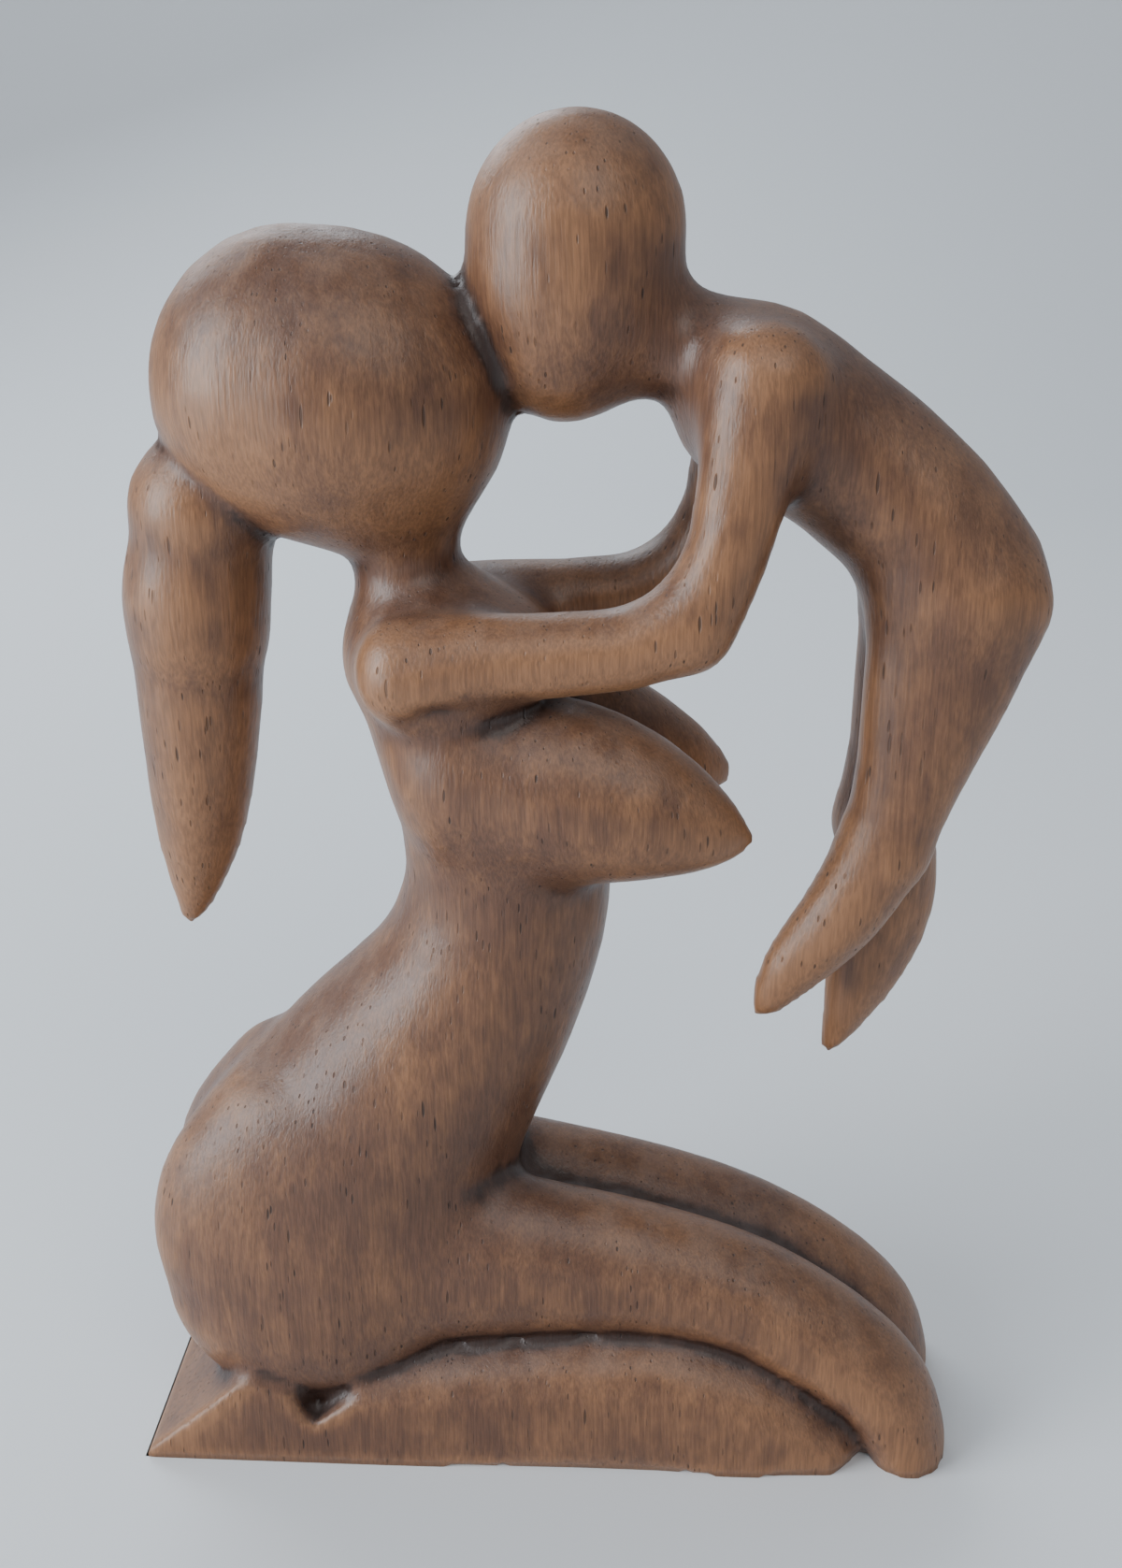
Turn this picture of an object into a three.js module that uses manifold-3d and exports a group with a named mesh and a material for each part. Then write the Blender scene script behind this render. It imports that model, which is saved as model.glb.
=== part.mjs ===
import * as THREE from 'three';
import { mergeVertices } from 'three/addons/utils/BufferGeometryUtils.js';
import Module from 'manifold-3d';

// A kneeling mother holds a child up by its arms, forehead to forehead, carved from one block of wood.
// Millimetres, +Z up, +X from the mother's back to her knees, origin at the centre of the underside.

// Driving dimensions of the block
const HEIGHT = 200;
const FOOT_END = -63;
const BASE_HALF_WIDTH = 20;
const GROUND_DEPTH = 14;
const GROUND_TOLERANCE = 1e-4;

// Centre lines of what comes in pairs, measured sideways from the middle of the figure
const CHEEK_SIDE = 8;
const THIGH_SIDE = 8.6;
const KNEE_SIDE = 10;
const NIPPLE_SIDE = 13;
const NEAR_NIPPLE_REACH = 30.2;
const FAR_NIPPLE_REACH = 28.4;
const SHOULDER_SIDE = 14.5;
const ARM_SIDE = 14.8;
const CHILD_SHOULDER_SIDE = 10.5;
const CHILD_LEG_SIDE = 5;
const CHILD_FOOT_SIDE = 6;

// Ponytail
const BAND_CENTRE = [-45.9, 149];
const BAND_AXIS = [-0.63, -0.777];
const BAND_HALF_LENGTH = 10.4;
const BAND_HALF_WIDTH = 11.6;
const BAND_THICKNESS = 2.6;

// How softly the forms run into each other
const SOFT = 7;
const MEDIUM = 4;
const CREASE = 1.5;
const CLEFT_EDGE = 2;
const ARMPIT_EDGE = 1;
const MIDDLE_ROUNDING = 1.2;

// Fineness of the carving and of the finished faces
const CELL = 1.5;
const BLOCK = 6;
const BLOCK_SAFETY = 1.6;
const FACES = 8600;
const STEPS_PER_STATION = 5;
const CUT_REACH = 30;

// A station of a limb: place in the side view, half thickness there, half width across, side, squareness
function station(x, z, thick, wide, side = 0, power = 2) {
  return { x, y: side, z, thick, wide, power };
}

// Values between the stations follow a smooth curve through them
function sampleStations(stations) {
  const keys = ['x', 'y', 'z', 'thick', 'wide', 'power'];
  const samples = [];
  const last = stations.length - 1;
  for (let i = 0; i < last; i++) {
    const before = stations[Math.max(i - 1, 0)];
    const after = stations[Math.min(i + 2, last)];
    const steps = STEPS_PER_STATION;
    for (let j = 0; j < steps; j++) {
      samples.push(betweenStations(keys, before, stations[i], stations[i + 1], after, j / steps));
    }
  }
  samples.push({ ...stations[last] });
  return samples;
}

function betweenStations(keys, a, b, c, d, t) {
  const value = {};
  for (const key of keys) {
    const slopeB = (c[key] - a[key]) / 2;
    const slopeC = (d[key] - b[key]) / 2;
    const rise = c[key] - b[key];
    const square = 3 * rise - 2 * slopeB - slopeC;
    const cube = slopeB + slopeC - 2 * rise;
    value[key] = b[key] + slopeB * t + square * t * t + cube * t * t * t;
  }
  return value;
}

// A limb is a row of rounded sections. It returns the distance of a point to its surface.
function limb(stations, startCap, endCap) {
  const samples = sampleStations(stations);
  const links = [];
  for (let i = 0; i + 1 < samples.length; i++) {
    const from = samples[i];
    const to = samples[i + 1];
    const along = new THREE.Vector3(to.x - from.x, to.y - from.y, to.z - from.z);
    const length = along.length();
    along.divideScalar(length);
    const across = new THREE.Vector3(0, 1, 0).addScaledVector(along, -along.y).normalize();
    const up = new THREE.Vector3().crossVectors(along, across);
    const caps = [Math.min(from.thick, from.wide), Math.min(to.thick, to.wide)];
    if (i === 0 && startCap !== undefined) caps[0] = startCap;
    if (i + 2 === samples.length && endCap !== undefined) caps[1] = endCap;
    links.push({ from, to, along, across, up, length, caps });
  }
  const reach = boundsOf(samples, Math.max(startCap ?? 0, endCap ?? 0));
  return (x, y, z) => {
    const outside = reach(x, y, z);
    if (outside > SOFT) return outside;
    let nearest = Infinity;
    for (const link of links) nearest = Math.min(nearest, linkDistance(link, x, y, z));
    return nearest;
  };
}

function boundsOf(samples, cap) {
  const low = [Infinity, Infinity, Infinity];
  const high = [-Infinity, -Infinity, -Infinity];
  for (const sample of samples) {
    const size = Math.max(sample.thick, sample.wide, cap);
    const place = [sample.x, sample.y, sample.z];
    for (let k = 0; k < 3; k++) {
      low[k] = Math.min(low[k], place[k] - size);
      high[k] = Math.max(high[k], place[k] + size);
    }
  }
  return (x, y, z) => {
    const dx = Math.max(low[0] - x, x - high[0], 0);
    const dy = Math.max(low[1] - y, y - high[1], 0);
    const dz = Math.max(low[2] - z, z - high[2], 0);
    return Math.hypot(dx, dy, dz);
  };
}

function linkDistance(link, x, y, z) {
  const { from, to, along, across, up, length, caps } = link;
  const px = x - from.x;
  const py = y - from.y;
  const pz = z - from.z;
  const forward = px * along.x + py * along.y + pz * along.z;
  const part = Math.min(Math.max(forward / length, 0), 1);
  const over = forward - part * length;
  const rise = px * up.x + py * up.y + pz * up.z;
  const sideways = px * across.x + py * across.y + pz * across.z;
  const thick = from.thick + (to.thick - from.thick) * part;
  const wide = from.wide + (to.wide - from.wide) * part;
  const power = from.power + (to.power - from.power) * part;
  const cap = over < 0 ? caps[0] : caps[1];
  return sectionDistance(rise, sideways, over, thick, wide, cap, power);
}

// Distance to an egg with three half sizes. Power 2 is round, more is squarer, less is ridged.
function sectionDistance(u, v, w, sizeU, sizeV, sizeW, power) {
  const away = Math.hypot(u, v, w);
  if (away === 0) return -Math.min(sizeU, sizeV);
  const flat = (Math.abs(u) / sizeU) ** power + (Math.abs(v) / sizeV) ** power;
  const level = Math.hypot(flat ** (1 / power), w / sizeW);
  return away * (1 - 1 / level);
}

function egg({ centre, radii }) {
  return (x, y, z) => {
    const [u, v, w] = [x - centre[0], y - centre[1], z - centre[2]];
    return sectionDistance(u, v, w, radii[0], radii[1], radii[2], 2);
  };
}

// Two forms joined with a fillet about as large as the softness
function join(a, b, softness) {
  const overlap = Math.max(softness - Math.abs(a - b), 0) / softness;
  return Math.min(a, b) - overlap * overlap * softness / 4;
}

// One form cut away from another, with an edge rounded by the softness
function cut(a, b, softness) {
  return -join(-a, b, softness);
}

// Mother: trunk, from the seat to the base of the neck
const trunk = limb([
  station(-34, 24, 24, 17),
  station(-32.5, 38, 26, 18),
  station(-22.6, 56.3, 21.4, 19),
  station(-10.5, 75, 16.8, 16.5),
  station(-5.2, 90, 15.4, 14.8),
  station(-5.4, 103, 14.8, 15.5),
  station(-10.5, 117, 13.2, 17),
  station(-14, 128, 12.6, 15),
], 20, 8);

// Mother: cheeks of the seat
const cheek = limb([
  station(-36, 27, 23, 12, CHEEK_SIDE + 0.5),
  station(-35, 37, 25.4, 12.5, CHEEK_SIDE),
  station(-29, 49, 23, 12, CHEEK_SIDE - 1),
], 21, 12);

// Mother: thigh, from the hip down to the knee, cut off by the ground
const thigh = limb([
  station(-30, 31, 16, 10.5, CHEEK_SIDE),
  station(-10, 32.5, 14.3, 10, THIGH_SIDE),
  station(4, 32, 12.2, 9.3, THIGH_SIDE),
  station(18, 30.4, 10.3, 8.9, THIGH_SIDE),
  station(32, 26.4, 9.2, 8.8, THIGH_SIDE),
  station(44.5, 19.2, 8.7, 8.9, THIGH_SIDE + 0.4),
  station(53.8, 11, 8, 9, KNEE_SIDE - 0.6),
  station(58.2, 2.5, 6.8, 9, KNEE_SIDE),
  station(58.8, -4, 6.2, 9, KNEE_SIDE),
]);

// Mother: lower legs and feet, one slab under the thighs, square at the ground and squarer at the feet
const SHIN_POWER = 3.4;
const FOOT_POWER = 7;
const shins = limb([
  station(-74, 4, 14, BASE_HALF_WIDTH, 0, FOOT_POWER),
  station(-46, 4, 14, BASE_HALF_WIDTH, 0, FOOT_POWER),
  station(-32, 4, 12.6, BASE_HALF_WIDTH, 0, 4.5),
  station(-12, 6.5, 13.5, BASE_HALF_WIDTH, 0, SHIN_POWER),
  station(6, 8.5, 13.8, BASE_HALF_WIDTH, 0, SHIN_POWER),
  station(20, 8.5, 14, BASE_HALF_WIDTH, 0, SHIN_POWER),
  station(32, 5, 12.6, BASE_HALF_WIDTH, 0, SHIN_POWER),
  station(44, 0, 9, BASE_HALF_WIDTH - 1, 0, SHIN_POWER),
], 2, 9);

// Mother: breast, running out to a small nipple
function breast(facing, reach) {
  return limb([
    station(-9, 112.5, 11.5, 10, facing * (NIPPLE_SIDE - 4.5)),
    station(3, 111.2, 13.2, 11.3, facing * (NIPPLE_SIDE - 3.5)),
    station(reach - 18, 109.8, 11.2, 9.8, facing * (NIPPLE_SIDE - 2)),
    station(reach - 10, 107.8, 7.6, 7, facing * (NIPPLE_SIDE - 1)),
    station(reach - 5, 106.6, 4.4, 4.2, facing * NIPPLE_SIDE),
    station(reach - 2.4, 106.1, 2.4, 2.4, facing * NIPPLE_SIDE),
    station(reach - 1.4, 105.9, 2, 2, facing * NIPPLE_SIDE),
  ], 10, 1.4);
}
const nearBreast = breast(-1, NEAR_NIPPLE_REACH);
const farBreast = breast(1, FAR_NIPPLE_REACH);

// Mother: neck and the yoke of the shoulders
const neck = limb([
  station(-15.5, 131, 10, 10),
  station(-18.2, 139, 7.4, 8),
  station(-18.6, 146, 7.8, 8.5),
  station(-21, 153, 11, 11),
]);
const yoke = egg({ centre: [-11.5, 0, 128.3], radii: [14.6, 19, 9.3] });

// Mother: head, a smooth egg with no features, fuller at the back
const motherHead = limb([
  station(-32.5, 165.3, 20.6, 17.5),
  station(-25.5, 164, 20.9, 19),
  station(-19.2, 161.8, 17.6, 16),
], 19.5, 15.4);

// The mother's arm runs on as the child's arm, bent at one shared elbow
const arm = limb([
  station(-17, 129, 7.8, 6.6, SHOULDER_SIDE),
  station(-9, 131.2, 6.5, 6.1, ARM_SIDE),
  station(4, 132.4, 5.7, 5.9, ARM_SIDE),
  station(14, 133.9, 5.6, 5.9, ARM_SIDE),
  station(21, 138, 6, 5.8, ARM_SIDE - 0.4),
  station(24.8, 145, 5.5, 5.6, ARM_SIDE - 1),
  station(26.8, 153, 6, 5.7, ARM_SIDE - 2),
  station(28.4, 161, 7, 6, ARM_SIDE - 3),
  station(30, 168, 7.6, 6.5, CHILD_SHOULDER_SIDE),
]);
const elbow = egg({ centre: [21.6, ARM_SIDE, 134.6], radii: [3.4, 4.4, 3.4] });

// Child: head, a smooth egg with no features, narrowing to the chin
const childHead = limb([
  station(5, HEIGHT - 15, 14.3, 13.2),
  station(4.4, HEIGHT - 22.5, 13.9, 13),
  station(3.3, HEIGHT - 29.5, 10.7, 10.6),
], 15, 8.4);

// Child: neck, back and seat
const childNeck = limb([
  station(13, 172.5, 8, 8),
  station(20, 170.3, 7.6, 8.2),
  station(26, 168, 8.4, 11),
  station(30, 164, 11.2, 12.5),
]);
const childTrunk = limb([
  station(29.5, 163.6, 11.2, 12.5),
  station(36.4, 159.8, 11.5, 12.2),
  station(43.8, 154.7, 11.4, 11.3),
  station(51.6, 147.6, 11.5, 11.8),
  station(57.2, 139.2, 12.4, 12.2),
]);

// Child: thigh and shin, alike on both sides, down to the ankle
const childLeg = limb([
  station(57.4, 138, 12.1, 6.8, CHILD_LEG_SIDE),
  station(55.2, 126.5, 10.5, 6.6, CHILD_LEG_SIDE),
  station(52.1, 112, 7.6, 6, CHILD_LEG_SIDE),
  station(49.4, 101.5, 6.6, 5.6, CHILD_LEG_SIDE),
]);

// Child: the near foot swings forward and up, the far one hangs lower and further back
const RIDGED = 1.55;
const nearFoot = limb([
  station(49.4, 101.5, 6.6, 5.6, -CHILD_LEG_SIDE),
  station(43.9, 91.6, 6.1, 5.2, -CHILD_FOOT_SIDE, 1.8),
  station(37.6, 83, 4.9, 3.9, -CHILD_FOOT_SIDE, RIDGED),
  station(34.2, 77.6, 2.9, 2.6, -CHILD_FOOT_SIDE, RIDGED),
  station(32.8, 74.9, 1.1, 1.2, -CHILD_FOOT_SIDE, RIDGED),
]);
const farFoot = limb([
  station(50.8, 101.5, 7.4, 6, CHILD_LEG_SIDE),
  station(52.2, 89.5, 7.2, 5.6, CHILD_FOOT_SIDE, 1.8),
  station(50.2, 79.5, 6.6, 4.6, CHILD_FOOT_SIDE, RIDGED),
  station(47.4, 70.5, 4.3, 3.5, CHILD_FOOT_SIDE, RIDGED),
  station(44.7, 62.6, 1.5, 1.8, CHILD_FOOT_SIDE, RIDGED),
]);

// Ponytail: band, bun and tail
const band = limb([
  station(BAND_CENTRE[0] - BAND_AXIS[0] * 0.6, BAND_CENTRE[1] - BAND_AXIS[1] * 0.6,
    BAND_HALF_LENGTH, BAND_HALF_WIDTH),
  station(BAND_CENTRE[0] + BAND_AXIS[0] * 0.6, BAND_CENTRE[1] + BAND_AXIS[1] * 0.6,
    BAND_HALF_LENGTH, BAND_HALF_WIDTH),
], BAND_THICKNESS / 2, BAND_THICKNESS / 2);
const bun = limb([
  station(-44.6, 152, 8, 9.6),
  station(-46.8, 143.5, 9.6, 10.8),
  station(-48.1, 136.5, 10.3, 11.3),
  station(-48.2, 130.8, 9.9, 10.8),
], 8, 3.8);
const tail = limb([
  station(-48.5, 136, 8.8, 9),
  station(-48.7, 125, 9.1, 9),
  station(-49.4, 112, 8.2, 8, 0, 1.8),
  station(-50.3, 102, 7, 6.2, 0, RIDGED),
  station(-51.3, 94, 4.9, 4.2, 0, RIDGED),
  station(-52.4, 88, 2.7, 2.3, 0, RIDGED),
  station(-53.5, 84.6, 0.8, 0.9, 0, RIDGED),
]);

// Grooves cut into the finished forms: seat cleft and the crease under each arm
const cleft = limb([
  station(-44, 71, 3, 0.7),
  station(-56, 58, 3.6, 1),
  station(-63, 42, 4, 1.3),
  station(-62, 24, 4, 1.3),
]);
const armpitCrease = limb([
  station(-20.3, 122.4, 0.5, 1.5, 18),
  station(-13, 125.3, 0.9, 2.5, 20),
  station(-2, 126.6, 0.9, 3, 20.5),
  station(8, 126.6, 0.6, 2.5, 20),
]);

function fade(from, to, value) {
  const t = Math.min(Math.max((value - from) / (to - from), 0), 1);
  return t * t * (3 - 2 * t);
}

// The figure without its shins and hair as one distance, negative in the wood
function figure(x, y, z) {
  const side = Math.hypot(y, MIDDLE_ROUNDING);
  let body = join(trunk(x, y, z), cheek(x, side, z), MEDIUM);
  body = join(body, thigh(x, side, z), MEDIUM);
  const breasts = join(nearBreast(x, y, z), farBreast(x, y, z), CREASE);
  body = join(body, breasts, MEDIUM);
  body = cut(body, cleft(x, y, z), CLEFT_EDGE);
  let upper = join(neck(x, y, z), yoke(x, y, z), SOFT);
  const arms = join(arm(x, side, z), elbow(x, side, z), MEDIUM);
  upper = join(upper, arms, MEDIUM);
  upper = join(upper, motherHead(x, y, z), MEDIUM);
  body = join(body, upper, CREASE + (MEDIUM - CREASE) * fade(-19, -25, x));
  body = cut(body, armpitCrease(x, side, z), ARMPIT_EDGE);
  let child = join(childNeck(x, y, z), childTrunk(x, y, z), MEDIUM);
  child = join(child, childHead(x, y, z), MEDIUM);
  const feet = join(nearFoot(x, y, z), farFoot(x, y, z), CREASE);
  child = join(child, join(childLeg(x, side, z), feet, 2), MEDIUM);
  return join(body, child, CREASE + (MEDIUM - CREASE) * fade(14, 22, x));
}

function hair(x, y, z) {
  return join(join(bun(x, y, z), tail(x, y, z), CREASE), band(x, y, z), CREASE);
}

// A cell of the grid: its corners are numbered by their bits, its edges and faces by their corners
const AXES = [[0, 1, 2], [1, 2, 0], [2, 0, 1]];
const CELL_CORNERS = [0, 1, 2, 3, 4, 5, 6, 7];
const CELL_EDGES = AXES.flatMap(([axis]) => {
  const bit = 1 << axis;
  return CELL_CORNERS.filter((corner) => !(corner & bit)).map((corner) => [corner, corner | bit]);
});
const CELL_FACES = AXES.flatMap(([axis, u, v]) => [0, 1].map((side) => {
  const base = side << axis;
  return [base, base | (1 << u), base | (1 << u) | (1 << v), base | (1 << v)];
}));

function cellEdge(a, b) {
  return CELL_EDGES.findIndex(([from, to]) => from === Math.min(a, b) && to === Math.max(a, b));
}
const FACE_EDGES = CELL_FACES.map((loop) => loop.map((corner, n) => cellEdge(corner, loop[(n + 1) % 4])));

// The surface where the distance is zero. Each sheet that crosses a cell gets one point,
// and each edge of the grid that it crosses gets the quadrilateral between the four cells around.
function carve(distance, low, high, cell) {
  const counts = low.map((value, k) => Math.ceil((high[k] - value) / cell) + 1);
  const strides = [1, counts[0], counts[0] * counts[1]];
  const values = sampleGrid(distance, low, counts, cell, strides);
  const offsets = CELL_CORNERS.map((corner) => (
    AXES.reduce((sum, [axis]) => sum + ((corner >> axis) & 1) * strides[axis], 0)
  ));
  const points = [];
  const pointOf = new Map();
  const crossed = [];
  for (let k = 0; k + 1 < counts[2]; k++) {
    for (let j = 0; j + 1 < counts[1]; j++) {
      for (let i = 0; i + 1 < counts[0]; i++) {
        const start = i + j * strides[1] + k * strides[2];
        const corners = offsets.map((offset) => values[start + offset]);
        const inside = corners.filter((value) => value < 0).length;
        if (inside === 0 || inside === corners.length) continue;
        for (const sheet of sheetsOf(corners)) {
          points.push(...sheetPoint(sheet, corners, [i, j, k], low, cell));
          for (const edge of sheet) pointOf.set(start * CELL_EDGES.length + edge, points.length / 3 - 1);
        }
        crossed.push([start, corners]);
      }
    }
  }
  const faces = [];
  for (const [start, corners] of crossed) {
    for (const [axis, u, v] of AXES) {
      const end = 1 << axis;
      if ((corners[0] < 0) === (corners[end] < 0)) continue;
      const loop = [[0, 0], [1, 0], [1, 1], [0, 1]].map(([du, dv]) => {
        const from = (du << u) | (dv << v);
        const cellStart = start - du * strides[u] - dv * strides[v];
        return pointOf.get(cellStart * CELL_EDGES.length + cellEdge(from, from | end));
      });
      if (corners[0] >= 0) loop.reverse();
      faces.push(...splitQuad(points, loop));
    }
  }
  return { points, faces };
}

// Crossed edges of a cell, gathered into the sheets they belong to
function sheetsOf(corners) {
  const crossing = CELL_EDGES.map(([a, b]) => (corners[a] < 0) !== (corners[b] < 0));
  const group = CELL_EDGES.map((edge, n) => n);
  const unite = (a, b) => {
    const [kept, gone] = [group[a], group[b]];
    group.forEach((value, n) => {
      if (value === gone) group[n] = kept;
    });
  };
  CELL_FACES.forEach((loop, face) => {
    const edges = FACE_EDGES[face];
    const hit = edges.filter((edge) => crossing[edge]);
    if (hit.length === 2) unite(hit[0], hit[1]);
    if (hit.length !== 4) return;
    loop.forEach((corner, n) => {
      if (corners[corner] < 0) unite(edges[n], edges[(n + 3) % 4]);
    });
  });
  const sheets = new Map();
  CELL_EDGES.forEach((edge, n) => {
    if (!crossing[n]) return;
    if (!sheets.has(group[n])) sheets.set(group[n], []);
    sheets.get(group[n]).push(n);
  });
  return [...sheets.values()];
}

// The middle of the places where a sheet crosses the edges of its cell
function sheetPoint(sheet, corners, place, low, cell) {
  const sum = [0, 0, 0];
  for (const edge of sheet) {
    const [a, b] = CELL_EDGES[edge];
    const t = corners[a] / (corners[a] - corners[b]);
    for (const [axis] of AXES) {
      const from = (a >> axis) & 1;
      const to = (b >> axis) & 1;
      sum[axis] += (from + (to - from) * t) / sheet.length;
    }
  }
  return sum.map((value, axis) => low[axis] + (place[axis] + value) * cell);
}

// A quadrilateral is split along its shorter diagonal
function splitQuad(points, [a, b, c, d]) {
  const across = corner(points, a).distanceTo(corner(points, c));
  const other = corner(points, b).distanceTo(corner(points, d));
  return across < other ? [[a, b, c], [a, c, d]] : [[a, b, d], [b, c, d]];
}

// Blocks of the grid that are far from the surface take the value at their middle
function sampleGrid(distance, low, counts, cell, strides) {
  const values = new Float64Array(counts[0] * counts[1] * counts[2]);
  const farAway = BLOCK * cell * BLOCK_SAFETY;
  for (let k0 = 0; k0 < counts[2]; k0 += BLOCK) {
    for (let j0 = 0; j0 < counts[1]; j0 += BLOCK) {
      for (let i0 = 0; i0 < counts[0]; i0 += BLOCK) {
        const centre = [i0, j0, k0].map((start, axis) => low[axis] + (start + BLOCK / 2) * cell);
        const blockValue = distance(...centre);
        for (let k = k0; k < Math.min(k0 + BLOCK, counts[2]); k++) {
          for (let j = j0; j < Math.min(j0 + BLOCK, counts[1]); j++) {
            for (let i = i0; i < Math.min(i0 + BLOCK, counts[0]); i++) {
              values[i + j * strides[1] + k * strides[2]] = Math.abs(blockValue) > farAway
                ? blockValue
                : distance(low[0] + i * cell, low[1] + j * cell, low[2] + k * cell);
            }
          }
        }
      }
    }
  }
  return values;
}

// Fewer, larger faces: the edge that can go with the least change of shape goes first
const KEEP_CENTRED = 1e-3;
const KEEP_SHORT = 3e-3;
const LEAST_TURN = 0.3;
const LEAST_SHAPE = 0.12;

function simplify(points, faces, target) {
  const solid = { points, faces, around: [], forms: [], stamps: [], alive: faces.map(() => true) };
  for (let v = 0; v < points.length / 3; v++) {
    solid.around.push([]);
    solid.forms.push(new Float64Array(10));
    solid.stamps.push(0);
  }
  faces.forEach((face, index) => {
    const form = planeForm(points, face);
    for (const corner of face) {
      solid.around[corner].push(index);
      form.forEach((value, k) => {
        solid.forms[corner][k] += value;
      });
    }
  });
  let count = faces.length;
  let before = Infinity;
  while (count > target && count < before) {
    before = count;
    const queue = new Queue();
    faces.forEach(([a, b, c], index) => {
      if (!solid.alive[index]) return;
      if (a < b) queue.push(offer(solid, a, b));
      if (b < c) queue.push(offer(solid, b, c));
      if (c < a) queue.push(offer(solid, c, a));
    });
    while (count > target && queue.size > 0) {
      const best = queue.pop();
      if (solid.stamps[best.a] !== best.stampA || solid.stamps[best.b] !== best.stampB) continue;
      if (!mayCollapse(solid, best)) continue;
      collapse(solid, best);
      count -= 2;
      for (const neighbour of neighbours(solid, best.a)) queue.push(offer(solid, best.a, neighbour));
    }
  }
  return compact(solid);
}

function corner(points, v) {
  return new THREE.Vector3(points[3 * v], points[3 * v + 1], points[3 * v + 2]);
}

// Squared distance to the plane of a face as a quadratic form, weighted with the area of the face
function planeForm(points, face) {
  const [a, b, c] = face.map((v) => corner(points, v));
  const normal = b.clone().sub(a).cross(c.clone().sub(a));
  const area = normal.length() / 2;
  if (area > 0) normal.divideScalar(2 * area);
  const offset = -normal.dot(a);
  const { x, y, z } = normal;
  const form = [
    x * x, x * y, x * z, x * offset,
    y * y, y * z, y * offset,
    z * z, z * offset,
    offset * offset,
  ];
  return form.map((value) => value * area);
}

function formValue(q, x, y, z) {
  const cross = q[1] * x * y + q[2] * x * z + q[5] * y * z + q[3] * x + q[6] * y + q[8] * z;
  return q[0] * x * x + q[4] * y * y + q[7] * z * z + 2 * cross + q[9];
}

// What one collapse would give: the new point and its cost. A point on the underside stays on it.
function offer(solid, a, b) {
  const { points, forms, stamps } = solid;
  const q = forms[a].map((value, k) => value + forms[b][k]);
  const [p, r] = [corner(points, a), corner(points, b)];
  const centre = p.clone().add(r).multiplyScalar(0.5);
  const matrix = new THREE.Matrix3(
    q[0] + KEEP_CENTRED, q[1], q[2],
    q[1], q[4] + KEEP_CENTRED, q[5],
    q[2], q[5], q[7] + KEEP_CENTRED,
  ).invert();
  const target = centre.clone().multiplyScalar(KEEP_CENTRED).sub(new THREE.Vector3(q[3], q[6], q[8]));
  target.applyMatrix3(matrix);
  const length = p.distanceTo(r);
  if (!(target.distanceTo(centre) < length)) target.copy(centre);
  if (p.z === 0 || r.z === 0) target.z = 0;
  const cost = formValue(q, target.x, target.y, target.z) + KEEP_SHORT * length * length;
  return { a, b, target, cost, stampA: stamps[a], stampB: stamps[b] };
}

function neighbours(solid, v) {
  const found = new Set();
  for (const index of solid.around[v]) {
    for (const w of solid.faces[index]) {
      if (w !== v) found.add(w);
    }
  }
  return found;
}

// The skin stays closed and whole, and no face turns over or becomes a splinter
function mayCollapse(solid, { a, b, target }) {
  const { points, faces, around } = solid;
  const near = neighbours(solid, a);
  let shared = 0;
  for (const v of neighbours(solid, b)) {
    if (near.has(v)) shared += 1;
  }
  if (shared !== 2) return false;
  const average = averageNormal(solid, [a, b]);
  for (const v of [a, b]) {
    const other = v === a ? b : a;
    for (const index of around[v]) {
      const face = faces[index];
      if (face.includes(other)) continue;
      const at = face.indexOf(v);
      const p = corner(points, face[(at + 1) % 3]);
      const q = corner(points, face[(at + 2) % 3]);
      const old = faceMeasure(corner(points, v), p, q);
      const next = faceMeasure(target, p, q);
      const reference = old.shape < LEAST_SHAPE ? average : old.normal;
      if (reference.dot(next.normal) < LEAST_TURN) return false;
      if (next.shape < LEAST_SHAPE && next.shape < old.shape) return false;
    }
  }
  return true;
}

function averageNormal({ points, faces, around }, vertices) {
  const sum = new THREE.Vector3();
  for (const v of vertices) {
    for (const index of around[v]) {
      const [p, q, r] = faces[index].map((w) => corner(points, w));
      sum.add(q.sub(p).cross(r.sub(p)));
    }
  }
  return sum.normalize();
}

// Direction of a face, and its shape from 0 for a splinter to 0.87 for equal sides
function faceMeasure(a, b, c) {
  const normal = new THREE.Vector3().subVectors(b, a).cross(new THREE.Vector3().subVectors(c, a));
  const size = normal.length();
  const longest = Math.max(a.distanceToSquared(b), b.distanceToSquared(c), c.distanceToSquared(a));
  if (size > 0) normal.divideScalar(size);
  return { normal, shape: size / longest };
}

function collapse(solid, { a, b, target }) {
  const { points, faces, around, forms, stamps, alive } = solid;
  target.toArray(points, 3 * a);
  forms[b].forEach((value, k) => {
    forms[a][k] += value;
  });
  for (const index of around[b]) {
    if (faces[index].includes(a)) {
      alive[index] = false;
      for (const v of faces[index]) {
        if (v !== b) around[v] = around[v].filter((other) => other !== index);
      }
    } else {
      faces[index] = faces[index].map((v) => (v === b ? a : v));
      around[a].push(index);
    }
  }
  around[b] = [];
  stamps[a] += 1;
  stamps[b] += 1;
}

function compact({ points, faces, alive }) {
  const renamed = new Map();
  const kept = [];
  const corners = [];
  faces.forEach((face, index) => {
    if (!alive[index]) return;
    for (const v of face) {
      if (!renamed.has(v)) {
        renamed.set(v, renamed.size);
        kept.push(points[3 * v], points[3 * v + 1], points[3 * v + 2]);
      }
      corners.push(renamed.get(v));
    }
  });
  return { points: kept, corners };
}

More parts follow.
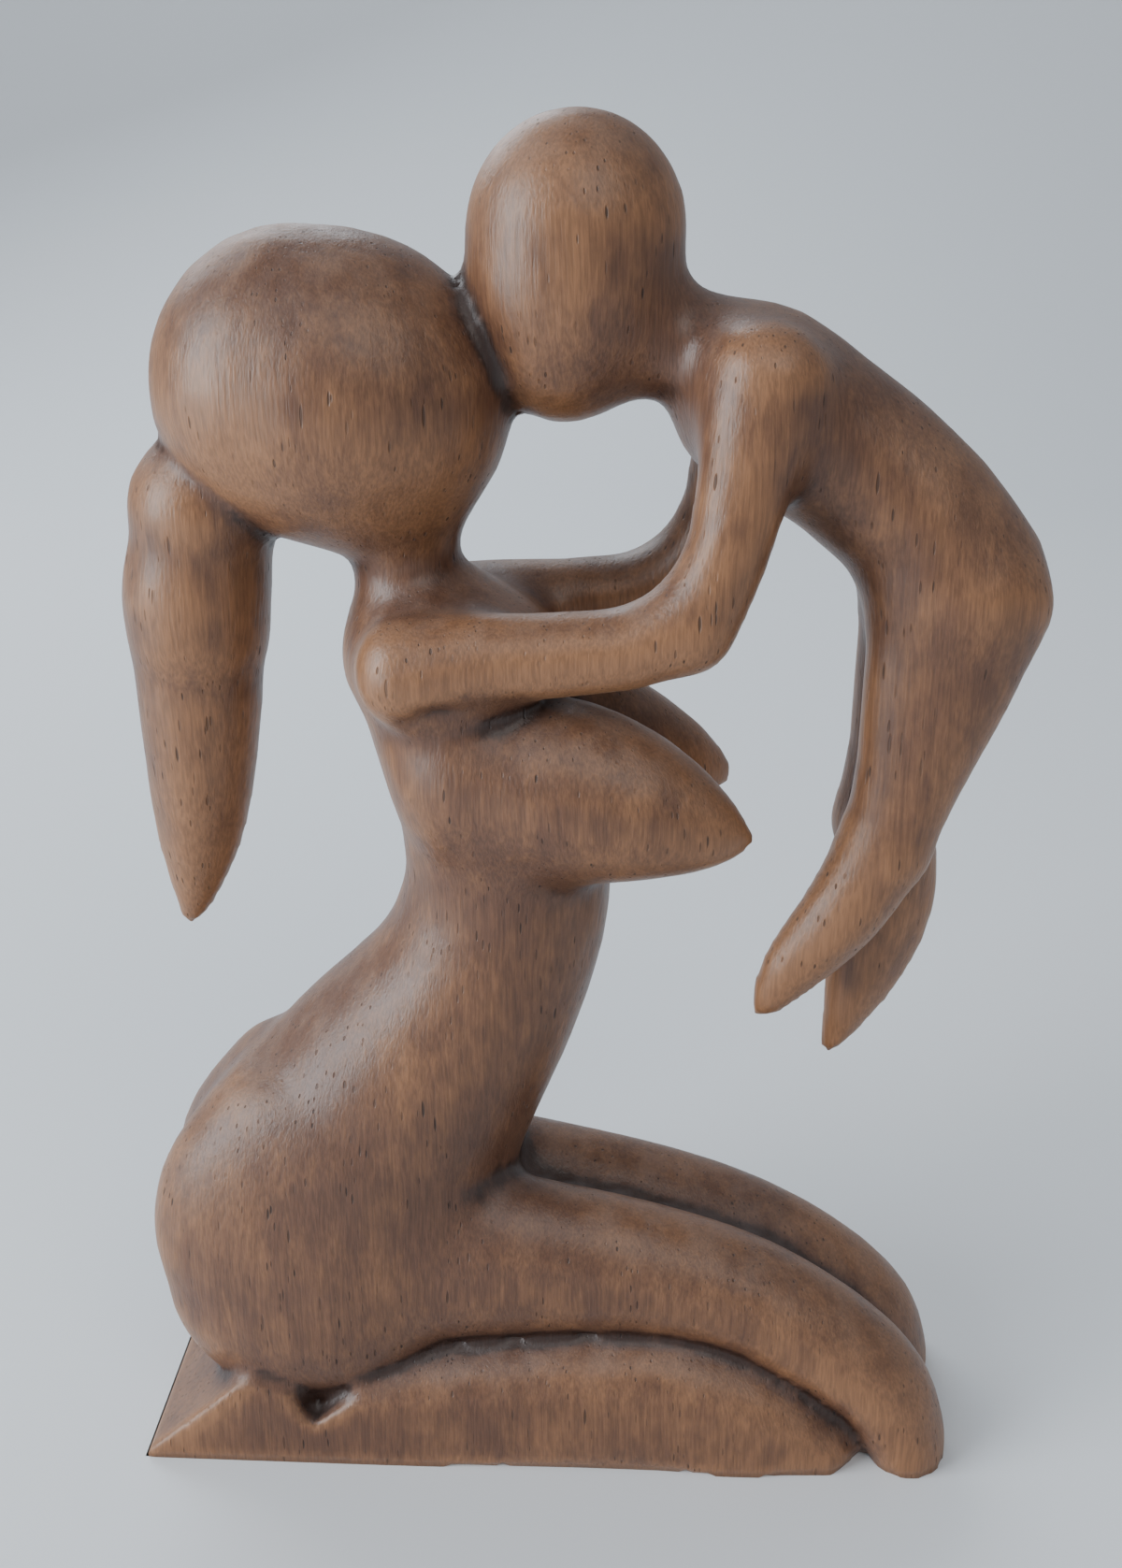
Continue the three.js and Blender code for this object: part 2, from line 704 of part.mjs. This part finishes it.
// A queue that gives back the cheapest offer first
class Queue {
  constructor() {
    this.items = [];
  }

  get size() {
    return this.items.length;
  }

  push(item) {
    const { items } = this;
    let place = items.length;
    while (place > 0) {
      const parent = (place - 1) >> 1;
      if (items[parent].cost <= item.cost) break;
      items[place] = items[parent];
      place = parent;
    }
    items[place] = item;
  }

  pop() {
    const { items } = this;
    const top = items[0];
    const last = items.pop();
    if (items.length > 0) {
      let place = 0;
      for (;;) {
        let child = 2 * place + 1;
        if (child >= items.length) break;
        if (child + 1 < items.length && items[child + 1].cost < items[child].cost) child += 1;
        if (items[child].cost >= last.cost) break;
        items[place] = items[child];
        place = child;
      }
      items[place] = last;
    }
    return top;
  }
}

// Exact joins and cuts of closed bodies
const wasm = await Module();
wasm.setup();

function solidFromGeometry(geometry) {
  const bare = geometry.clone();
  bare.deleteAttribute('normal');
  bare.deleteAttribute('uv');
  const merged = mergeVertices(bare);
  const vertProperties = Float32Array.from(merged.attributes.position.array);
  const triVerts = Uint32Array.from(merged.index.array);
  return new wasm.Manifold(new wasm.Mesh({ numProp: 3, vertProperties, triVerts }));
}

// A plate standing in the side view, from its outline there and the two sides it lies between
function plate(outline, fromSide, toSide) {
  const shape = new THREE.Shape(outline.map(([x, z]) => new THREE.Vector2(x, z)));
  const geometry = new THREE.ExtrudeGeometry(shape, { depth: toSide - fromSide, bevelEnabled: false });
  geometry.rotateX(Math.PI / 2);
  geometry.translate(0, toSide, 0);
  return solidFromGeometry(geometry);
}

// Behind the feet the slab is cut to a flat slope that ends in a sharp ridge
const FOOT_RIDGE = [-45.2, 15.6];
const FOOT_TOP = [-40.9, 17.4];
const behindFeet = plate([
  [FOOT_END - (FOOT_RIDGE[0] - FOOT_END), -FOOT_RIDGE[1]],
  FOOT_RIDGE,
  FOOT_TOP,
  [2 * FOOT_TOP[0] - FOOT_RIDGE[0], 2 * FOOT_TOP[1] - FOOT_RIDGE[1]],
  [FOOT_TOP[0], 2 * FOOT_TOP[1]],
  [FOOT_END - (FOOT_RIDGE[0] - FOOT_END), 2 * FOOT_TOP[1]],
], -CUT_REACH, CUT_REACH);

// A chisel notch on each side between the foot and the seat
const NOTCH_BOTTOM = [-34.9, 7.2];
const NOTCH_END = [-27.5, 13];
const NOTCH_DEPTH = 5.5;
const notchOutline = [NOTCH_BOTTOM, NOTCH_END, [-33, 17.6], FOOT_TOP];
const notches = [
  plate(notchOutline, -CUT_REACH, NOTCH_DEPTH - BASE_HALF_WIDTH),
  plate(notchOutline, BASE_HALF_WIDTH - NOTCH_DEPTH, CUT_REACH),
];

const groundBox = new THREE.BoxGeometry(HEIGHT, HEIGHT, 2 * GROUND_DEPTH);
groundBox.translate(0, 0, -GROUND_DEPTH);
const ground = solidFromGeometry(groundBox);

function solidFromField(distance, low, high) {
  const { points, faces } = carve(distance, low, high, CELL);
  const vertProperties = Float32Array.from(points);
  const triVerts = Uint32Array.from(faces.flat());
  return new wasm.Manifold(new wasm.Mesh({ numProp: 3, vertProperties, triVerts }));
}

function buildFigure() {
  const lower = solidFromField(shins, [-78, -23, -GROUND_DEPTH], [56, 23, 26]).subtract(behindFeet);
  const carvedLower = notches.reduce((rest, notch) => rest.subtract(notch), lower);
  const upper = solidFromField(figure, [-64, -24, -GROUND_DEPTH], [74, 24, HEIGHT + 2]);
  const ponytail = solidFromField(hair, [-64, -16, 80], [-28, 16, 164]);
  const whole = upper.add(carvedLower).add(ponytail).subtract(ground);
  const { vertProperties, triVerts } = whole.getMesh();
  const points = Float64Array.from(vertProperties, (value) => (Math.abs(value) < GROUND_TOLERANCE ? 0 : value));
  const faces = [];
  for (let i = 0; i < triVerts.length; i += 3) {
    faces.push([triVerts[i], triVerts[i + 1], triVerts[i + 2]]);
  }
  const simple = simplify(points, faces, FACES);
  const geometry = new THREE.BufferGeometry();
  geometry.setAttribute('position', new THREE.Float32BufferAttribute(simple.points, 3));
  geometry.setIndex(simple.corners);
  geometry.computeVertexNormals();
  return geometry;
}

// Waxed reddish-brown wood
const wood = new THREE.MeshStandardMaterial({ color: 0x5f3a29, roughness: 0.42, metalness: 0 });

const motherAndChild = new THREE.Mesh(buildFigure(), wood);
motherAndChild.name = 'mother_and_child';

const group = new THREE.Group();
group.add(motherAndChild);

export default group;
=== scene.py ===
import math

import bpy
import numpy as np
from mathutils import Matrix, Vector
from mathutils.kdtree import KDTree


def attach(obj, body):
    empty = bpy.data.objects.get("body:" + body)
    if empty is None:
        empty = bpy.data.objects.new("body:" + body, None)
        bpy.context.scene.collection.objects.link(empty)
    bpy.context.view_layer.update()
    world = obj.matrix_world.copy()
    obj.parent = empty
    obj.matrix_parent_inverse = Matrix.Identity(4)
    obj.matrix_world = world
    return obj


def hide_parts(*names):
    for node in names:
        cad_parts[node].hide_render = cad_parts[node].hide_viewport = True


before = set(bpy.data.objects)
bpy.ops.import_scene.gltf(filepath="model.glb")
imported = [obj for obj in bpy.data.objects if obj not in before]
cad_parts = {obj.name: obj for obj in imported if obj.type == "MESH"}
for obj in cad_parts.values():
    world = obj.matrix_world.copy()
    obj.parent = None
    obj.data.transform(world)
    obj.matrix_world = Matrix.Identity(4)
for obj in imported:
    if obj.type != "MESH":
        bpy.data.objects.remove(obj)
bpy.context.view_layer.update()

bl_info = {
    "name": "Carved Mother and Child",
    "version": (1, 0, 0),
    "blender": (4, 5, 0),
    "location": "View3D > Sidebar > Carving",
    "description": "Carves, waxes and lights a wooden figure of a mother lifting her child",
    "category": "Add Mesh",
}

NODE = "mother_and_child"
PIECE = "carved_mother_and_child"
MILLIMETRE = 0.001


class CarvingSettings(bpy.types.PropertyGroup):
    """Sizes of the carving."""

    clay_size: bpy.props.FloatProperty(
        name="Clay Size",
        description="Edge length of the even skin that the carving is smoothed on",
        default=0.00115,
        min=0.0008,
        subtype="DISTANCE",
        unit="LENGTH",
    )
    smoothing_passes: bpy.props.IntProperty(
        name="Sanding Passes",
        description="How often the skin is sanded smooth",
        default=26,
        min=0,
    )
    edge_angle: bpy.props.FloatProperty(
        name="Edge Angle",
        description="Edges sharper than this stay sharp under the sanding",
        default=math.radians(50),
        subtype="ANGLE",
        unit="ROTATION",
    )
    edge_width: bpy.props.FloatProperty(
        name="Edge Width",
        description="How far from a sharp edge the sanding starts",
        default=0.0012,
        subtype="DISTANCE",
        unit="LENGTH",
    )


class WoodSettings(bpy.types.PropertyGroup):
    """Colours and wax of the wood."""

    # The dark tone also carries the painted shade in creases and hollows
    dark_tone: bpy.props.FloatVectorProperty(
        name="Dark Tone",
        description="Colour of the stained wood where the wax is thick",
        default=(0.030, 0.0125, 0.0075),
        size=3,
        min=0.0,
        max=1.0,
        subtype="COLOR",
    )
    middle_tone: bpy.props.FloatVectorProperty(
        name="Middle Tone",
        description="Colour of most of the wood",
        default=(0.105, 0.047, 0.026),
        size=3,
        min=0.0,
        max=1.0,
        subtype="COLOR",
    )
    worn_tone: bpy.props.FloatVectorProperty(
        name="Worn Tone",
        description="Colour where handling has thinned the stain",
        default=(0.235, 0.110, 0.050),
        size=3,
        min=0.0,
        max=1.0,
        subtype="COLOR",
    )
    pore_tone: bpy.props.FloatVectorProperty(
        name="Pore Tone",
        description="Colour inside the open pores",
        default=(0.008, 0.004, 0.003),
        size=3,
        min=0.0,
        max=1.0,
        subtype="COLOR",
    )
    # The dust tone also stands for a painted sheen on surfaces that face up
    dust_and_sheen_tone: bpy.props.FloatVectorProperty(
        name="Dust and Sheen Tone",
        description="Colour of the bloom on surfaces that face up",
        default=(0.16, 0.135, 0.13),
        size=3,
        min=0.0,
        max=1.0,
        subtype="COLOR",
    )
    roughness: bpy.props.FloatProperty(
        name="Wax Roughness",
        description="Roughness of the waxed surface between the pores",
        default=0.40,
        min=0.0,
        max=1.0,
        subtype="FACTOR",
    )


class StageSettings(bpy.types.PropertyGroup):
    """Floor, light and camera."""

    floor_tone: bpy.props.FloatVectorProperty(
        name="Floor Tone",
        description="Colour of the studio floor and the wall it runs up to",
        default=(0.72, 0.75, 0.78),
        size=3,
        min=0.0,
        max=1.0,
        subtype="COLOR",
    )
    camera_place: bpy.props.FloatVectorProperty(
        name="Camera Place",
        description="Where the camera stands",
        default=(0.0144, -0.2335, 0.1996),
        size=3,
        subtype="TRANSLATION",
        unit="LENGTH",
    )
    camera_tilt: bpy.props.FloatProperty(
        name="Camera Tilt",
        description="How far the camera looks down",
        default=math.radians(21.33),
        subtype="ANGLE",
        unit="ROTATION",
    )
    camera_turn: bpy.props.FloatProperty(
        name="Camera Turn",
        description="How far the camera turns to the left",
        default=math.radians(2.78),
        subtype="ANGLE",
        unit="ROTATION",
    )
    camera_lens: bpy.props.FloatProperty(
        name="Camera Lens",
        description="Focal length in millimetres on a 36 mm sensor",
        default=39.71,
        min=10.0,
    )


def deselect_everything():
    bpy.ops.object.select_all(action="DESELECT")


def make_active(piece):
    deselect_everything()
    piece.select_set(True)
    bpy.context.view_layer.objects.active = piece


def copy_of_node(node_name, piece_name):
    """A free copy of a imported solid, with its loose triangles merged."""
    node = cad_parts[node_name]
    piece = node.copy()
    piece.data = node.data.copy()
    piece.name = piece_name
    piece.data.name = piece_name
    piece.parent = None
    for key in list(piece.keys()):
        del piece[key]
    bpy.context.scene.collection.objects.link(piece)
    make_active(piece)
    bpy.ops.object.mode_set(mode="EDIT")
    bpy.ops.mesh.select_all(action="SELECT")
    bpy.ops.mesh.remove_doubles(threshold=0.01 * MILLIMETRE)
    bpy.ops.object.mode_set(mode="OBJECT")
    return piece


def places_of(piece):
    """The piece's points as an array, in metres."""
    places = np.empty(len(piece.data.vertices) * 3, np.float32)
    piece.data.vertices.foreach_get("co", places)
    return places.reshape(-1, 3).astype(float)


def set_places(piece, places):
    piece.data.vertices.foreach_set("co", places.astype(np.float32).ravel())
    piece.data.update()


def normals_of(piece):
    normals = np.empty(len(piece.data.vertices) * 3, np.float32)
    piece.data.vertices.foreach_get("normal", normals)
    return normals.reshape(-1, 3).astype(float)


def edges_of(piece):
    edges = np.empty(len(piece.data.edges) * 2, np.int32)
    piece.data.edges.foreach_get("vertices", edges)
    return edges.reshape(-1, 2)


def sharp_edge_points(piece, angle, spacing):
    """Points along the edges of the solid that are sharper than an angle."""
    make_active(piece)
    bpy.ops.object.mode_set(mode="EDIT")
    bpy.ops.mesh.select_mode(type="EDGE")
    bpy.ops.mesh.select_all(action="DESELECT")
    bpy.ops.mesh.edges_select_sharp(sharpness=angle)
    bpy.ops.object.mode_set(mode="OBJECT")
    places = places_of(piece)
    points = []
    for edge in piece.data.edges:
        if not edge.select:
            continue
        start, end = places[edge.vertices[0]], places[edge.vertices[1]]
        count = max(1, int(np.linalg.norm(end - start) / spacing))
        for step in range(count + 1):
            points.append(start + (end - start) * step / count)
    return points


def distance_to(points, places):
    """Distance from each place to the nearest of some points."""
    tree = KDTree(len(points))
    for index, point in enumerate(points):
        tree.insert(Vector(point), index)
    tree.balance()
    return np.array([tree.find(Vector(place))[2] for place in places])


def neighbour_mean(values, edges, counts):
    total = np.zeros_like(values)
    np.add.at(total, edges[:, 0], values[edges[:, 1]])
    np.add.at(total, edges[:, 1], values[edges[:, 0]])
    return total / (counts if values.ndim == 1 else counts[:, None])


def neighbour_counts(size, edges):
    counts = np.bincount(edges.ravel(), minlength=size).astype(float)
    return np.maximum(counts, 1)


def sand(places, edges, strength, passes):
    """Smooths without shrinking: each pass pulls in and then pushes back out."""
    counts = neighbour_counts(len(places), edges)
    weight = strength[:, None]
    for _ in range(passes):
        for factor in (0.5, -0.53):
            places = places + weight * factor * (neighbour_mean(places, edges, counts) - places)
    return places


def fade(start, end, values):
    """0 before the start, 1 after the end, smooth between."""
    t = np.clip((values - start) / (end - start), 0, 1)
    return t * t * (3 - 2 * t)


def relief(places, normals, edges, passes):
    """How far the skin stands out from its surroundings, in metres; hollows are negative."""
    counts = neighbour_counts(len(places), edges)
    smooth = places
    for _ in range(passes):
        smooth = neighbour_mean(smooth, edges, counts)
    return ((places - smooth) * normals).sum(1)


# Places rubbed lighter by handling: centre, reach and amount, in millimetres
HANDLED = (
    ((-42, -14, 160), 16, 0.30),
    ((-12, -16, 152), 15, 0.35),
)


def mark_wear_and_painted_shade(piece, edges):
    """Stores where the stain is rubbed off, and where wax and dirt have gathered in hollows that are also darkened
    with painted shade.
    """
    places = places_of(piece)
    normals = normals_of(piece)
    fine = relief(places, normals, edges, 6) / MILLIMETRE
    broad = relief(places, normals, edges, 60) / MILLIMETRE
    wear = 0.45 * fade(0.05, 0.35, fine) + 0.22 * fade(0.6, 3.5, broad)
    for centre, reach, amount in HANDLED:
        away = np.linalg.norm(places / MILLIMETRE - np.array(centre), axis=1)
        wear += amount * fade(reach, 0.3 * reach, away)
    # Painted shade in creases and hollows, together with the wax and dirt gathered there
    wax_and_painted_shade = 0.55 * fade(0.03, 0.30, -fine) + 0.50 * fade(0.2, 1.6, -broad)
    for name, values in (("wear", wear), ("wax_and_painted_shade", wax_and_painted_shade)):
        attribute = piece.data.attributes.new(name, "FLOAT", "POINT")
        attribute.data.foreach_set("value", values.astype(np.float32))


class CARVING_OT_figure(bpy.types.Operator):
    """Carve the mother and child in one piece"""

    bl_idname = "carving.figure"
    bl_label = "Carve Figure"

    def execute(self, context):
        settings = context.scene.carving_settings
        piece = copy_of_node(NODE, PIECE)
        edge_points = sharp_edge_points(piece, settings.edge_angle, 0.4 * MILLIMETRE)
        clay = piece.modifiers.new("Clay", "REMESH")
        clay.mode = "VOXEL"
        clay.voxel_size = settings.clay_size
        make_active(piece)
        bpy.ops.object.modifier_apply(modifier=clay.name)
        places = places_of(piece)
        if len(places) < 10000:
            raise RuntimeError("the carving lost its skin")
        edges = edges_of(piece)
        away = distance_to(edge_points, places)
        strength = fade(0.3 * settings.edge_width, 2.5 * settings.edge_width, away)
        places = sand(places, edges, 0.1 + 0.9 * strength, settings.smoothing_passes)
        places[:, 2] = np.where(places[:, 2] < 0.6 * MILLIMETRE, 0, places[:, 2])
        set_places(piece, places)
        bpy.ops.object.shade_smooth()
        mark_wear_and_painted_shade(piece, edges)
        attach(piece, "root")
        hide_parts(NODE)
        return {"FINISHED"}


def add(tree, kind, place, settings=None, **inputs):
    """A node with its settings and unlinked inputs; an input can be a socket to link."""
    made = tree.nodes.new(kind)
    made.location = place
    for key, value in (settings or {}).items():
        setattr(made, key, value)
    for key, value in inputs.items():
        socket = made.inputs[int(key[1:])] if key[0] == "i" and key[1:].isdigit() else made.inputs[key]
        if isinstance(value, bpy.types.NodeSocket):
            tree.links.new(value, socket)
        else:
            socket.default_value = value
    return made


def math_node(tree, place, operation, first, second=0.0, third=0.0, clamp=False):
    made = add(
        tree, "ShaderNodeMath", place, {"operation": operation, "use_clamp": clamp},
        i0=first, i1=second, i2=third,
    )
    return made.outputs[0]


def remap(tree, place, value, low, high, to_low=0.0, to_high=1.0):
    """Smoothly maps a value from one range to another and keeps it inside."""
    made = add(
        tree, "ShaderNodeMapRange", place, {"interpolation_type": "SMOOTHSTEP"},
        i0=value, i1=low, i2=high, i3=to_low, i4=to_high,
    )
    return made.outputs[0]


def mix_colours(tree, place, factor, first, second, blend="MIX"):
    made = add(tree, "ShaderNodeMix", place, {"data_type": "RGBA", "blend_type": blend})
    for socket, value in ((made.inputs[0], factor), (made.inputs[6], first), (made.inputs[7], second)):
        if isinstance(value, bpy.types.NodeSocket):
            tree.links.new(value, socket)
        else:
            socket.default_value = value
    return made.outputs[2]


def grain_space(tree, place, vector, across, along, turn=0.0):
    """Coordinates squeezed so that a pattern is that size across and along the grain, in millimetres."""
    made = add(tree, "ShaderNodeMapping", place, i0=vector)
    made.inputs["Scale"].default_value = (1000 / across, 1000 / across, 1000 / along)
    made.inputs["Rotation"].default_value = (0, turn, 0)
    return made.outputs[0]


def noise(tree, place, vector, detail=3.0, rough=0.5, distortion=0.0):
    made = add(
        tree, "ShaderNodeTexNoise", place, Vector=vector, Scale=1.0, Detail=detail,
        Roughness=rough, Distortion=distortion,
    )
    return made.outputs["Fac"]


def pores(tree, place, vector, across, along, size, share):
    """Short flecks along the grain: a share of the cells of a stretched cell pattern holds one each."""
    x, y = place
    cells = add(
        tree, "ShaderNodeTexVoronoi", (x + 200, y), {"feature": "F1"},
        Vector=grain_space(tree, (x, y), vector, across, along), Scale=1.0, Randomness=1.0,
    )
    chosen = add(tree, "ShaderNodeSeparateColor", (x + 400, y - 150), i0=cells.outputs["Color"])
    fleck = remap(tree, (x + 400, y), cells.outputs["Distance"], size, size * 0.55)
    kept = math_node(tree, (x + 600, y - 150), "LESS_THAN", chosen.outputs[0], share)
    depth = math_node(tree, (x + 600, y - 300), "MULTIPLY_ADD", chosen.outputs[1], 0.6, 0.4)
    return math_node(
        tree, (x + 800, y), "MULTIPLY", fleck, math_node(tree, (x + 700, y - 100), "MULTIPLY", kept, depth)
    )


def fill_wood(material, settings):
    """The waxed wood: tones, grain, pores, and dust with painted sheen."""
    material.use_nodes = True
    tree = material.node_tree
    tree.nodes.clear()
    out = add(tree, "ShaderNodeOutputMaterial", (2600, 0))
    shader = add(tree, "ShaderNodeBsdfPrincipled", (2300, 0))
    tree.links.new(shader.outputs["BSDF"], out.inputs["Surface"])

    space = add(tree, "ShaderNodeTexCoord", (-1800, 0)).outputs["Object"]
    wave = add(
        tree, "ShaderNodeTexNoise", (-1600, -200), Vector=grain_space(tree, (-1800, -200), space, 16, 40),
        Scale=1.0, Detail=2.0,
    )
    sway = add(
        tree, "ShaderNodeVectorMath", (-1400, -200), {"operation": "MULTIPLY_ADD"},
        i0=wave.outputs["Color"], i1=(0.0028, 0.0028, 0.0), i2=space,
    ).outputs[0]

    wear = add(tree, "ShaderNodeAttribute", (-1400, 600), {"attribute_name": "wear"}).outputs["Fac"]
    # Wax, dirt and painted shade in the hollows
    wax_and_painted_shade = add(tree, "ShaderNodeAttribute", (-1400, 400), {"attribute_name": "wax_and_painted_shade"}).outputs["Fac"]
    dark = (*settings.dark_tone, 1)
    middle = (*settings.middle_tone, 1)
    worn = (*settings.worn_tone, 1)
    pore = (*settings.pore_tone, 1)
    dust_and_sheen_colour = (*settings.dust_and_sheen_tone, 1)

    clouds = noise(tree, (-1000, 800), grain_space(tree, (-1200, 800), space, 26, 38), 3.0, 0.55)
    blotches = noise(tree, (-1000, 600), grain_space(tree, (-1200, 600), space, 5, 9), 3.0, 0.6)
    streaks = noise(tree, (-1000, 400), grain_space(tree, (-1200, 400), sway, 1.6, 34), 4.0, 0.6)
    fibres = noise(tree, (-1000, 200), grain_space(tree, (-1200, 200), sway, 0.35, 9), 2.0, 0.6)
    mottles = noise(tree, (-1000, 0), grain_space(tree, (-1200, 0), sway, 1.1, 3.2), 3.0, 0.65)

    # How far the stain is worn: patches from handling, broken up by clouds, blotches and grain, less the wax, dirt
    # and painted shade in the hollows
    amount = math_node(tree, (-700, 800), "MULTIPLY_ADD", clouds, 1.2, -0.62)
    amount = math_node(tree, (-500, 760), "MULTIPLY_ADD", blotches, 0.85, amount)
    amount = math_node(tree, (-300, 720), "MULTIPLY_ADD", streaks, 0.55, amount)
    amount = math_node(tree, (-100, 680), "MULTIPLY_ADD", mottles, 0.55, amount)
    amount = math_node(tree, (100, 640), "ADD", amount, wear)
    # Hollows pull the colour toward the dark tone: wax and dirt, and painted shade
    amount = math_node(tree, (300, 600), "SUBTRACT", amount, wax_and_painted_shade)
    stained = remap(tree, (500, 700), amount, 0.05, 0.75)
    rubbed = remap(tree, (500, 500), amount, 0.70, 1.55)
    colour = mix_colours(tree, (700, 600), stained, dark, middle)
    colour = mix_colours(tree, (900, 600), rubbed, colour, worn)
    thread = remap(tree, (700, 300), fibres, 0.30, 0.70, 0.80, 1.16)
    colour = mix_colours(tree, (1100, 600), 1.0, colour, thread, "MULTIPLY")

    short = pores(tree, (-1000, -300), sway, 0.85, 5.2, 0.21, 0.55)
    long = pores(tree, (-1000, -700), sway, 1.5, 11.0, 0.16, 0.6)
    crowd = remap(
        tree, (0, -500), noise(tree, (-200, -500), grain_space(tree, (-400, -500), space, 9, 16), 2.0), 0.35, 0.62
    )
    open_pores = math_node(tree, (200, -400), "MULTIPLY", math_node(tree, (0, -300), "MAXIMUM", short, long), crowd)
    colour = mix_colours(
        tree, (1300, 600), math_node(tree, (1100, 300), "MULTIPLY", open_pores, 0.85), colour, pore
    )

    # Grey dust and painted sheen where the surface faces up
    facing = add(
        tree, "ShaderNodeSeparateXYZ", (600, 100), i0=add(tree, "ShaderNodeNewGeometry", (400, 100)).outputs["Normal"]
    ).outputs["Z"]
    # Painted sheen and dust, stronger the more the surface faces up
    dust_and_sheen = remap(tree, (800, 100), facing, 0.15, 0.95, 0.0, 0.30)
    patchy = remap(tree, (800, -100), blotches, 0.35, 0.70, 0.25, 1.0)
    dust_and_sheen = math_node(tree, (1000, 0), "MULTIPLY", dust_and_sheen, patchy)
    colour = mix_colours(tree, (1500, 600), dust_and_sheen, colour, dust_and_sheen_colour)
    tree.links.new(colour, shader.inputs["Base Color"])

    gloss = math_node(tree, (1300, 0), "MULTIPLY_ADD", blotches, 0.20, settings.roughness - 0.10)
    gloss = math_node(tree, (1500, 0), "MULTIPLY_ADD", open_pores, 0.30, gloss)
    gloss = math_node(tree, (1700, 0), "MULTIPLY_ADD", dust_and_sheen, 0.35, gloss)
    tree.links.new(gloss, shader.inputs["Roughness"])

    height = math_node(tree, (1300, -400), "MULTIPLY", open_pores, -1.0)
    height = math_node(tree, (1500, -400), "MULTIPLY_ADD", fibres, 0.35, height)
    height = math_node(tree, (1700, -400), "MULTIPLY_ADD", mottles, 0.45, height)
    bump = add(tree, "ShaderNodeBump", (2000, -400), Strength=0.75, Distance=0.00022, Height=height)
    tree.links.new(bump.outputs["Normal"], shader.inputs["Normal"])


class CARVING_OT_wood(bpy.types.Operator):
    """Stain and wax the wood"""

    bl_idname = "carving.wood"
    bl_label = "Wax Wood"

    def execute(self, context):
        piece = bpy.data.objects.get(PIECE)
        if piece is None:
            raise RuntimeError("carve the figure first")
        material = bpy.data.materials.new("waxed_wood")
        fill_wood(material, context.scene.wood_settings)
        piece.data.materials.clear()
        piece.data.materials.append(material)
        return {"FINISHED"}


def soft_light(name, place, target, width, height, power, tone):
    bpy.ops.object.light_add(type="AREA", location=place)
    light = bpy.context.active_object
    light.name = name
    light.data.shape = "RECTANGLE"
    light.data.size = width
    light.data.size_y = height
    light.data.energy = power
    light.data.color = tone
    light.rotation_euler = (Vector(target) - Vector(place)).to_track_quat("-Z", "Y").to_euler()
    return light


class CARVING_OT_stage(bpy.types.Operator):
    """Set up the floor, the lights and the camera"""

    bl_idname = "carving.stage"
    bl_label = "Set Stage"

    def execute(self, context):
        settings = context.scene.stage_settings
        deselect_everything()
        bpy.ops.mesh.primitive_plane_add(size=2.4, location=(0, 0.2, 0))
        floor = context.active_object
        floor.name = "studio_floor"
        bpy.ops.object.transform_apply(location=True, rotation=True, scale=True)
        bpy.ops.object.mode_set(mode="EDIT")
        bpy.ops.mesh.select_mode(type="EDGE")
        bpy.ops.mesh.select_all(action="DESELECT")
        bpy.ops.object.mode_set(mode="OBJECT")
        for edge in floor.data.edges:
            ends = [floor.data.vertices[v].co.y for v in edge.vertices]
            edge.select = min(ends) > 1
        bpy.ops.object.mode_set(mode="EDIT")
        bpy.ops.mesh.extrude_region_move(TRANSFORM_OT_translate={"value": (0, 0, 2.0)})
        bpy.ops.object.mode_set(mode="OBJECT")
        bend = floor.modifiers.new("Sweep", "BEVEL")
        bend.width = 0.7
        bend.segments = 24
        bend.limit_method = "ANGLE"
        bpy.ops.object.modifier_apply(modifier=bend.name)
        bpy.ops.object.shade_smooth()
        material = bpy.data.materials.new("studio_paper")
        material.use_nodes = True
        shader = material.node_tree.nodes["Principled BSDF"]
        shader.inputs["Base Color"].default_value = (*settings.floor_tone, 1)
        shader.inputs["Roughness"].default_value = 0.9
        floor.data.materials.append(material)

        focus = (0.0, 0.0, 0.1)
        soft_light("window", (-0.88, -0.42, 0.42), focus, 0.62, 0.8, 15, (0.90, 0.95, 1.0))
        soft_light("far_window", (-0.45, 0.75, 0.7), focus, 0.8, 0.5, 6, (0.88, 0.94, 1.0))
        soft_light("room", (0.35, -0.9, 1.0), focus, 0.9, 0.7, 5, (1.0, 0.96, 0.92))

        world = bpy.data.worlds.new("studio_air")
        context.scene.world = world
        world.use_nodes = True
        air = world.node_tree.nodes["Background"]
        air.inputs["Color"].default_value = (0.82, 0.88, 0.95, 1)
        air.inputs["Strength"].default_value = 0.45

        bpy.ops.object.camera_add(
            location=settings.camera_place,
            rotation=(math.radians(90) - settings.camera_tilt, 0, settings.camera_turn),
        )
        camera = context.active_object
        camera.name = "camera"
        camera.data.sensor_width = 36
        camera.data.lens = settings.camera_lens
        camera.data.clip_start = 0.01
        camera.data.clip_end = 20
        context.scene.camera = camera
        return {"FINISHED"}


class CARVING_PT_panel(bpy.types.Panel):
    """Lists the steps in the sidebar"""

    bl_label = "Mother and Child"
    bl_idname = "CARVING_PT_panel"
    bl_space_type = "VIEW_3D"
    bl_region_type = "UI"
    bl_category = "Carving"

    def draw(self, context):
        for step in STEPS:
            self.layout.operator(step.bl_idname)


SETTINGS = {
    "carving_settings": CarvingSettings,
    "wood_settings": WoodSettings,
    "stage_settings": StageSettings,
}
STEPS = (CARVING_OT_figure, CARVING_OT_wood, CARVING_OT_stage)
CLASSES = (*SETTINGS.values(), *STEPS, CARVING_PT_panel)


def register():
    for cls in CLASSES:
        bpy.utils.register_class(cls)
    for name, group in SETTINGS.items():
        setattr(bpy.types.Scene, name, bpy.props.PointerProperty(type=group))


def unregister():
    for name in SETTINGS:
        delattr(bpy.types.Scene, name)
    for cls in reversed(CLASSES):
        bpy.utils.unregister_class(cls)


def main():
    register()
    bpy.ops.carving.figure()
    bpy.ops.carving.wood()
    bpy.ops.carving.stage()


if __name__ == "__main__":
    main()
